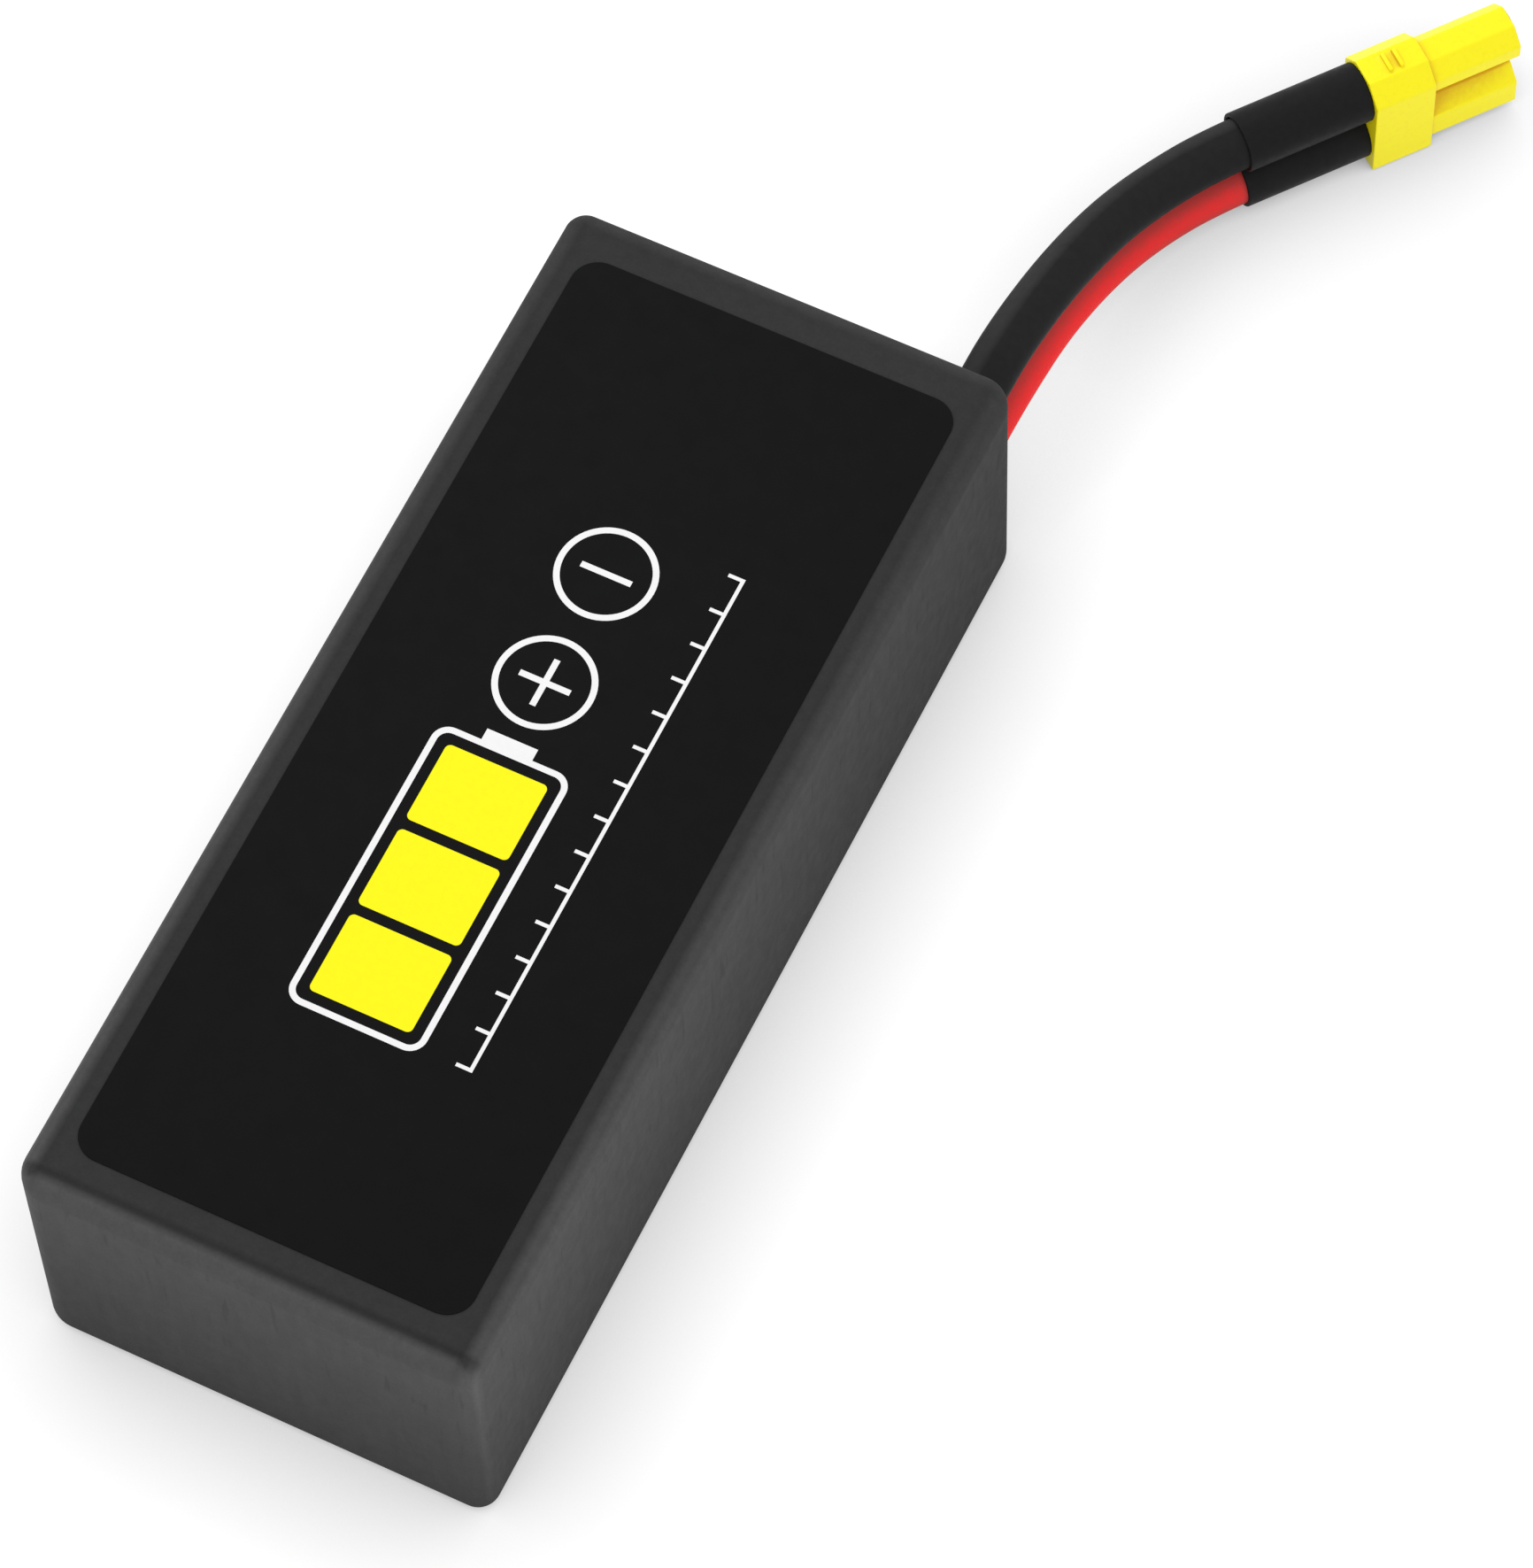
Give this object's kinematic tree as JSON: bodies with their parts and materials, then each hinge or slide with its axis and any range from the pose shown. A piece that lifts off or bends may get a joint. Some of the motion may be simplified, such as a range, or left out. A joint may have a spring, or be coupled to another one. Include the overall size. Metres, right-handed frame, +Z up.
{
  "type": "lithium polymer battery pack",
  "caption": "Flat rectangular rechargeable pack in matte shrink film with a top label, two silicone leads from one end and a keyed two-pole socket connector.",
  "frame": {"origin": "centre of the pack body's underside, where it rests", "axes": "+X across the pack's width, +Y along the pack towards the leads, +Z up through the label"},
  "size_m": [0.0511, 0.1335, 0.0227],
  "materials": {
    "shrink_film": "matte",
    "label_print": "matte",
    "case_plastic": "satin",
    "pouch_foil": "satin",
    "foam": "matte",
    "adhesive": "matte",
    "aluminium_tab": "satin",
    "nickel": "satin",
    "seal_strip": "satin",
    "insulation_paper": "matte",
    "circuit_board": "satin",
    "chip_plastic": "satin",
    "sense_metal": "satin",
    "capacitor_ceramic": "matte",
    "tinned_copper": "satin",
    "solder": "satin",
    "grommet_rubber": "matte",
    "black_silicone": "satin",
    "red_silicone": "satin",
    "sleeve_plastic": "satin",
    "connector_nylon": "satin",
    "gold_plating": "polished"
  },
  "bodies": {
    "root": {"shrink_jacket": "shrink_film", "label": "label_print", "tray": "case_plastic", "tray_lid": "case_plastic", "cell_bottom": "pouch_foil", "cell_middle": "pouch_foil", "cell_top": "pouch_foil", "base_pad": "adhesive", "cell_tape_lower": "adhesive", "cell_tape_upper": "adhesive", "top_pad": "foam", "front_pad": "foam", "aluminium_tabs": "aluminium_tab", "nickel_tabs": "nickel", "tab_seals": "seal_strip", "tap_strips": "nickel", "tap_solder": "solder", "insulation_sheet": "insulation_paper", "protection_board": "circuit_board", "mosfets": "chip_plastic", "protection_chip": "chip_plastic", "sense_resistors": "sense_metal", "filter_capacitors": "capacitor_ceramic", "filter_resistors": "chip_plastic", "board_conductors": "tinned_copper", "lead_solder": "solder", "lead_grommet": "grommet_rubber", "negative_lead": "black_silicone", "positive_lead": "red_silicone", "negative_sleeve": "sleeve_plastic", "positive_sleeve": "sleeve_plastic", "negative_contact": "gold_plating", "positive_contact": "gold_plating", "cup_conductors": "tinned_copper", "connector_housing": "connector_nylon"}
  },
  "joints": []
}
